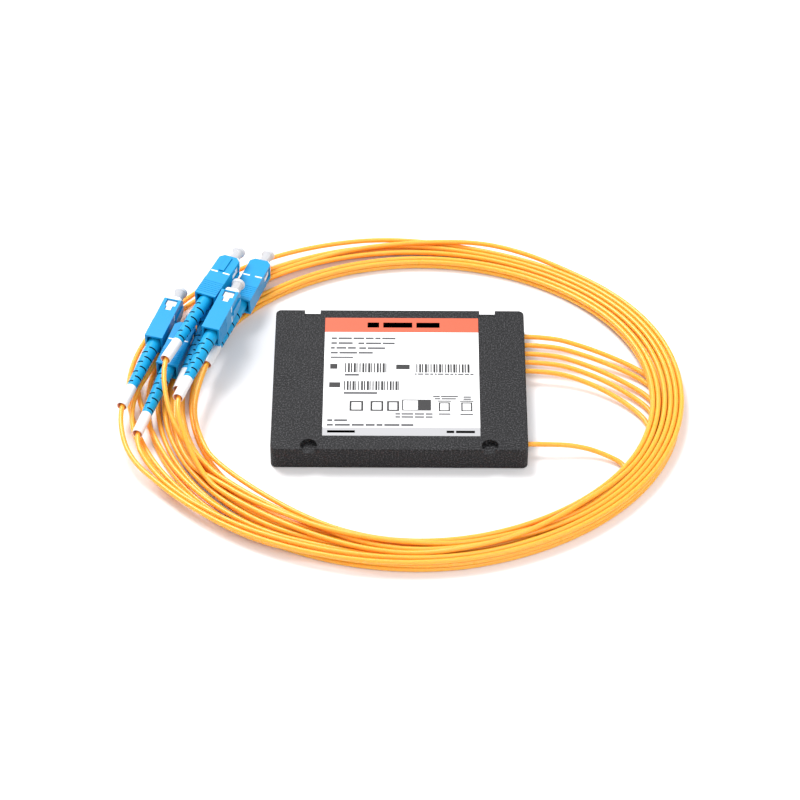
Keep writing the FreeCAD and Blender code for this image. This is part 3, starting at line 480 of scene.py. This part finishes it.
# The boot, measured behind the plug's tip: straight at first, then a cone, then the spigot for the marker
# sleeve; inside, room for the crimp sleeve and a bore for the jacket
BOOT_START = 20.6
BOOT_STRAIGHT = 30.0
BOOT_END = 51.0
BOOT_RADIUS = 2.8
BOOT_TAIL_RADIUS = 2.1
BOOT_ROOM_RADIUS = 2.2
BOOT_ROOM_END = 28.8
SPIGOT_RADIUS = 1.7
SPIGOT_END = 52.4
BORE_RADIUS = 1.05
BOOT_CELLS = 72

# The outside has a step at the spigot, so radii are taken this far inside a ring's ends
STOP_SHIFT = 0.001

# The boot's faces without slots: from a distance behind the tip and a radius to another distance and radius
BOOT_RINGS = (
    (BOOT_START, BOOT_ROOM_RADIUS, BOOT_START, BOOT_RADIUS),
    (BOOT_END, SPIGOT_RADIUS, BOOT_END, BOOT_TAIL_RADIUS),
    (SPIGOT_END, BORE_RADIUS, SPIGOT_END, SPIGOT_RADIUS),
    (BOOT_START, BOOT_ROOM_RADIUS, BOOT_ROOM_END, BOOT_ROOM_RADIUS),
    (BOOT_ROOM_END, BORE_RADIUS, BOOT_ROOM_END, BOOT_ROOM_RADIUS),
    (BOOT_ROOM_END, BORE_RADIUS, SPIGOT_END, BORE_RADIUS),
)

# The boot's slots: rows along it, and the turn and half length of a slot round it
SLOT_FIRST = 29.2
SLOT_PITCH = 2.8
SLOT_ROWS = 8
SLOT_GAP = 0.7
SLOT_DEEP = 0.8
SLOT_TURN = 45.0
SLOT_HALF = 52.0

# Two white dashes on each wide face of the housing, which lies GRIP_HALF from the plug's axis
GRIP_HALF = 3.6
DASH_BEHIND = 10.4
DASH_LONG = 2.9
DASH_WIDE = 0.65
DASH_GAP = 2.3
DASH_HIGH = 0.03


def new_mesh(name, vertices, faces, finish, smoothed=False):
    """A mesh piece from vertices in millimetres."""
    mesh = bpy.data.meshes.new(name)
    mesh.from_pydata([tuple(value * MM for value in vertex) for vertex in vertices], [], faces)
    mesh.polygons.foreach_set("use_smooth", [smoothed] * len(faces))
    mesh.update()
    piece = bpy.data.objects.new(name, mesh)
    bpy.context.scene.collection.objects.link(piece)
    paint(piece, finish)
    return piece


def plug_seat(fibre):
    """From a plug's own axes (+X out of its tip, +Z out of its key face) to the model's frame."""
    (x, y), high, turn, roll = PLUGS[fibre]
    place = Matrix.Translation(Vector((x, y, high)) * MM)
    return place @ Matrix.Rotation(math.radians(turn), 4, "Z") @ Matrix.Rotation(math.radians(roll), 4, "X")


def lathe(profile, steps):
    """Turns a profile of (along the axis, out from it) points about the plug's axis."""
    vertices, faces = [], []
    rows = len(profile)
    for step in range(steps):
        turn = 2.0 * math.pi * step / steps
        vertices += [(along, out * math.cos(turn), out * math.sin(turn)) for along, out in profile]
        here, after = step * rows, (step + 1) % steps * rows
        faces += [(here + r, after + r, after + r + 1, here + r + 1) for r in range(rows - 1)]
    return vertices, faces


def make_cap(fibre):
    """The dust cap, with its rounded rim."""
    cap = new_mesh(f"cap_{fibre}", *lathe(CAP_PROFILE, LATHE_STEPS), "cap_clear", smoothed=True)
    cap.matrix_world = plug_seat(fibre)
    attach(cap, f"cap_{fibre}")
    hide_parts(f"dust_cap_{fibre}")


def make_marker(fibre):
    """The white tube on the boot's spigot: its wall is thin, and its inside is painted orange as a painted
    reflection of the jacket's light.
    """
    for name, profile, finish in (
        ("marker", MARKER_OUTSIDE, "marker_white"),
        # The inside takes the painted reflection finish
        ("marker_inside", MARKER_INSIDE, "marker_inside"),
    ):
        tube = new_mesh(f"{name}_{fibre}", *lathe(profile, LATHE_STEPS), finish, smoothed=True)
        tube.matrix_world = plug_seat(fibre)
        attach(tube, "root")
        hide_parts(f"marker_sleeve_{fibre}")


BLOCK_SIDES = ((0, 1, 3, 2), (4, 6, 7, 5), (0, 4, 5, 1), (2, 3, 7, 6), (0, 2, 6, 4), (1, 5, 7, 3))


def add_block(vertices, faces, low, high):
    """Adds a block between two corners."""
    first = len(vertices)
    vertices += [(x, y, z) for x in (low[0], high[0]) for y in (low[1], high[1]) for z in (low[2], high[2])]
    faces += [tuple(first + corner for corner in side) for side in BLOCK_SIDES]


def boot_radius(behind):
    """The boot's outside radius, so far behind the plug's tip."""
    if behind > BOOT_END:
        return SPIGOT_RADIUS
    share = max(0.0, (behind - BOOT_STRAIGHT) / (BOOT_END - BOOT_STRAIGHT))
    return BOOT_RADIUS + (BOOT_TAIL_RADIUS - BOOT_RADIUS) * share


def in_slot(behind, turn):
    """Whether a place on the boot lies in a slot: two face each other in a row, turned a quarter each row."""
    row = math.floor((behind - SLOT_FIRST) / SLOT_PITCH)
    if not 0 <= row < SLOT_ROWS or behind - SLOT_FIRST - row * SLOT_PITCH > SLOT_GAP:
        return False
    away = (turn - SLOT_TURN - 90.0 * (row % 2)) % 180.0
    return min(away, 180.0 - away) < SLOT_HALF


def boot_stops():
    """Where the boot's rings of cells meet, behind the plug's tip."""
    stops = {BOOT_START, BOOT_STRAIGHT, BOOT_END, SPIGOT_END}
    for row in range(SLOT_ROWS):
        stops |= {SLOT_FIRST + row * SLOT_PITCH, SLOT_FIRST + row * SLOT_PITCH + SLOT_GAP}
    return sorted(stops)


def slot_walls(near, far, start, end, outs, lows):
    """The walls of a cell in a slot: at both ends, and at a side where the slot stops."""
    for behind, out, low in zip((near, far), outs, lows):
        yield (behind, start, low), (behind, end, low), (behind, end, out), (behind, start, out)
    half = (end - start) / 2.0
    for turn, beyond in ((start, start - half), (end, end + half)):
        if not in_slot((near + far) / 2.0, beyond):
            yield (near, turn, lows[0]), (far, turn, lows[1]), (far, turn, outs[1]), (near, turn, outs[0])


def boot_cells():
    """The boot's surface, as four corners (behind the tip, turn, radius) and whether they are in a slot."""
    step = 360.0 / BOOT_CELLS
    turns = [(cell * step, (cell + 1) * step) for cell in range(BOOT_CELLS)]
    stops = boot_stops()
    for near, far in zip(stops, stops[1:]):
        outs = (boot_radius(near + STOP_SHIFT), boot_radius(far - STOP_SHIFT))
        for start, end in turns:
            slotted = in_slot((near + far) / 2.0, (start + end) / 2.0)
            lows = [out - (SLOT_DEEP if slotted else 0.0) for out in outs]
            low, high = lows
            yield ((near, start, low), (far, start, high), (far, end, high), (near, end, low)), slotted
            if slotted:
                for wall in slot_walls(near, far, start, end, outs, lows):
                    yield wall, True
    for near, low, far, high in BOOT_RINGS:
        for start, end in turns:
            yield ((near, start, low), (near, end, low), (far, end, high), (far, start, high)), False


def make_boot(fibre):
    """The strain relief, with dark slots: their floors and walls are painted near-black blue as painted
    shade.
    """
    vertices, faces, dark = [], [], []
    for corners, slotted in boot_cells():
        first = len(vertices)
        for behind, turn, out in corners:
            vertices.append((-behind, out * math.cos(math.radians(turn)), out * math.sin(math.radians(turn))))
        faces.append(tuple(range(first, first + 4)))
        dark.append(slotted)
    boot = new_mesh(f"boot_{fibre}_slotted", vertices, faces, "boot_blue")
    # The slot faces take the painted shade finish
    boot.data.materials.append(FINISHES["boot_slot_painted_shade"])
    boot.data.polygons.foreach_set("material_index", [1 if slotted else 0 for slotted in dark])
    boot.matrix_world = plug_seat(fibre)
    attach(boot, "root")
    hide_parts(f"boot_{fibre}")


def make_dashes(fibre):
    """Two short white lines across each wide face of the housing."""
    vertices, faces = [], []
    for face in (-1.0, 1.0):
        for side in (-1.0, 1.0):
            across = sorted((side * DASH_GAP / 2.0, side * (DASH_GAP / 2.0 + DASH_LONG)))
            up = sorted((face * GRIP_HALF, face * (GRIP_HALF + DASH_HIGH)))
            low = (-DASH_BEHIND - DASH_WIDE / 2.0, across[0], up[0])
            high = (-DASH_BEHIND + DASH_WIDE / 2.0, across[1], up[1])
            add_block(vertices, faces, low, high)
    dashes = new_mesh(f"dashes_{fibre}", vertices, faces, "dash_white")
    dashes.matrix_world = plug_seat(fibre)
    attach(dashes, f"grip_{fibre}")


for number in FIBRES:
    make_boot(number)
    make_marker(number)
    make_cap(number)
    make_dashes(number)

# ---------------------------------------------------------------------------------------------------------
# Label: coloured fields, and plain bars where a label has its print
# ---------------------------------------------------------------------------------------------------------

LABEL_LOW, LABEL_HIGH = [[value / MM for value in corner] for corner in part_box("label")]
LABEL_TOP = LABEL_HIGH[2]
INK = 0.02
BAND_DEEP = 8.4
FOOT_DEEP = 4.5

# Lengths of the bars in a line and widths of the upright bars in a group, taken in turn
WORD_SHARES = (2.0, 5.0, 4.0, 3.0)
WORD_GAP = 0.55
BAR_SHARES = (0.42, 0.72, 0.5, 0.8, 0.36)

# Lines of bars: left end, middle, length, height and number of bars
DARK_LINES = (
    (-13.0, 30.9, 29.0, 3.0, 3),
    (-27.6, 6.7, 2.9, 2.9, 1),
    (-1.4, 6.5, 5.4, 2.7, 1),
    (-27.8, -3.9, 4.4, 2.9, 1),
)
LIGHT_LINES = (
    (-27.3, 23.0, 25.6, 1.1, 6),
    (-27.4, 20.2, 8.6, 1.1, 2),
    (-16.6, 20.1, 14.6, 1.1, 3),
    (-27.5, 17.4, 10.0, 1.1, 3),
    (-16.2, 17.3, 10.4, 1.1, 2),
    (-27.5, 14.6, 16.8, 1.1, 3),
    (-27.5, 11.9, 9.0, 0.9, 1),
    (-21.7, 1.9, 5.6, 1.2, 1),
    (5.9, 2.4, 23.4, 0.8, 12),
    (-22.0, -8.5, 13.2, 1.2, 1),
    (-1.6, -20.2, 14.6, 0.9, 4),
    (-1.6, -21.9, 14.6, 0.9, 4),
    (13.2, -10.3, 9.8, 0.8, 2),
    (13.8, -11.6, 8.4, 0.8, 2),
    (25.1, -10.6, 3.0, 0.8, 1),
    (25.1, -11.8, 3.0, 0.8, 1),
    (15.4, -20.2, 4.6, 0.8, 1),
    (23.8, -20.3, 5.0, 0.8, 1),
    (-28.2, -23.9, 7.8, 1.2, 2),
    (-28.3, -26.4, 33.8, 1.2, 7),
    (-28.1, -30.1, 10.8, 1.3, 1),
    (18.4, -30.1, 11.0, 1.3, 2),
)

# Groups of upright bars: left end, top, length, height and number of bars
BAR_GROUPS = (
    (-21.7, 8.6, 17.2, 5.4, 15),
    (6.6, 8.2, 21.4, 4.9, 19),
    (-22.0, -1.7, 22.6, 5.2, 20),
)

# Empty frames: left end, foot, width, height and thickness of their line
FRAMES = (
    (-19.6, -18.6, 5.4, 5.6, 0.8),
    (-11.4, -18.6, 5.1, 5.6, 0.8),
    (-4.9, -18.6, 4.8, 5.6, 0.8),
    (1.0, -18.3, 11.4, 6.2, 0.5),
    (15.4, -18.6, 4.4, 5.0, 0.6),
    (24.2, -18.6, 4.4, 5.0, 0.6),
)

# A filled field in the wide frame, and a bar over each of the last two frames: low and high corner
FIELDS = (
    ((7.2, -17.8), (11.9, -12.6)),
    ((14.9, -13.2), (20.3, -12.6)),
    ((23.7, -13.2), (29.1, -12.6)),
)


def make_print(name, finish, fields):
    """Flat inked fields, each given by its low and high corner on the label."""
    vertices, faces = [], []
    for (low_x, low_y), (high_x, high_y) in fields:
        add_block(vertices, faces, (low_x, low_y, LABEL_TOP), (high_x, high_y, LABEL_TOP + INK))
    piece = new_mesh(name, vertices, faces, finish)
    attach(piece, "root")


def ruled_line(x, y, long, high, words):
    """A line of word-like bars."""
    shares = [WORD_SHARES[word % len(WORD_SHARES)] for word in range(words)]
    gap = WORD_GAP * high
    unit = (long - gap * (words - 1)) / sum(shares)
    fields = []
    for share in shares:
        fields.append(((x, y - high / 2.0), (x + share * unit, y + high / 2.0)))
        x += share * unit + gap
    return fields


def ruled_block(x, y, long, high, bars):
    """A group of upright bars, evenly set."""
    pitch = long / bars
    fields = []
    for bar in range(bars):
        wide = pitch * BAR_SHARES[bar % len(BAR_SHARES)]
        fields.append(((x + bar * pitch, y - high), (x + bar * pitch + wide, y)))
    return fields


def framed(x, y, wide, high, line):
    """The four sides of an empty frame."""
    return [
        ((x, y), (x + wide, y + line)),
        ((x, y + high - line), (x + wide, y + high)),
        ((x, y + line), (x + line, y + high - line)),
        ((x + wide - line, y + line), (x + wide, y + high - line)),
    ]


def make_label_print():
    """The orange band, the grey foot and the dark and light print between them."""
    left, right = LABEL_LOW[0], LABEL_HIGH[0]
    front, back = LABEL_LOW[1], LABEL_HIGH[1]
    make_print("label_band", "label_orange", [((left, back - BAND_DEEP), (right, back))])
    make_print("label_foot", "label_grey", [((left, front), (right, front + FOOT_DEEP))])
    dark = [field for line in DARK_LINES for field in ruled_line(*line)]
    dark += [field for group in BAR_GROUPS for field in ruled_block(*group)]
    dark += [field for frame_sizes in FRAMES for field in framed(*frame_sizes)]
    dark += FIELDS
    make_print("label_dark_print", "label_print", dark)
    light = [field for line in LIGHT_LINES for field in ruled_line(*line)]
    make_print("label_light_print", "label_light_print", light)


make_label_print()

# ---------------------------------------------------------------------------------------------------------
# Floor, light and camera
# ---------------------------------------------------------------------------------------------------------

FLOOR_SIZE = 6.0
FLOOR_DROP = 0.0002
WORLD_STRENGTH = 0.72

# Area lights, which face the middle of the model: place, size and power
LIGHTS = {
    "key": ((-0.5, 0.7, 1.3), (0.7, 0.7), 25.0),
    "front": ((0.6, -0.9, 1.1), (1.2, 0.8), 9.0),
}

# The camera looks down at its target; its roll about its own line of sight is in radians
CAMERA_ELEVATION = math.radians(44.08)
CAMERA_ROLL = 0.00448
CAMERA_TARGET = Vector((0.0002, -0.00193, 0.0))
CAMERA_DISTANCE = 1.2828
CAMERA_LENS = 145.3
CAMERA_SENSOR = 36.0
CAMERA_CLIP_END = 20.0


def make_floor():
    bpy.ops.mesh.primitive_plane_add(size=FLOOR_SIZE, location=(0.0, 0.0, -FLOOR_DROP))
    floor = bpy.context.object
    floor.name = "floor"
    floor.data.materials.append(plain_finish("floor", (240, 240, 242), 0.9, {}))
    floor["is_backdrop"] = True


def make_world():
    world = bpy.data.worlds.new("world")
    bpy.context.scene.world = world
    world.use_nodes = True
    world.node_tree.nodes["Background"].inputs["Color"].default_value = (1.0, 1.0, 1.0, 1.0)
    world.node_tree.nodes["Background"].inputs["Strength"].default_value = WORLD_STRENGTH


def make_area_light(name, place, size, power):
    data = bpy.data.lights.new(name, "AREA")
    data.shape = "RECTANGLE"
    data.size, data.size_y = size
    data.energy = power
    light = bpy.data.objects.new(name, data)
    bpy.context.scene.collection.objects.link(light)
    light.location = place
    light.rotation_euler = (-Vector(place)).to_track_quat("-Z", "Y").to_euler()


def make_camera():
    """A camera in front of the model, rolled slightly about its own line of sight."""
    back = Vector((0.0, -math.cos(CAMERA_ELEVATION), math.sin(CAMERA_ELEVATION)))
    level_right = Vector((1.0, 0.0, 0.0))
    level_up = back.cross(level_right)
    right = level_right * math.cos(CAMERA_ROLL) + level_up * math.sin(CAMERA_ROLL)
    up = level_up * math.cos(CAMERA_ROLL) - level_right * math.sin(CAMERA_ROLL)
    data = bpy.data.cameras.new("camera")
    data.lens = CAMERA_LENS
    data.sensor_width = CAMERA_SENSOR
    data.clip_end = CAMERA_CLIP_END
    camera = bpy.data.objects.new("camera", data)
    bpy.context.scene.collection.objects.link(camera)
    turn = Matrix((right, up, back)).transposed().to_4x4()
    camera.matrix_world = Matrix.Translation(CAMERA_TARGET + back * CAMERA_DISTANCE) @ turn
    bpy.context.scene.camera = camera


make_floor()
make_world()
for name, (place, size, power) in LIGHTS.items():
    make_area_light(name, place, size, power)
make_camera()

bpy.context.scene.view_settings.view_transform = "Standard"

size_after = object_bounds()
sizes = {"before": size_before, "after": size_after}
{key: [list(map(float, corner)) for corner in box] for key, box in sizes.items()}
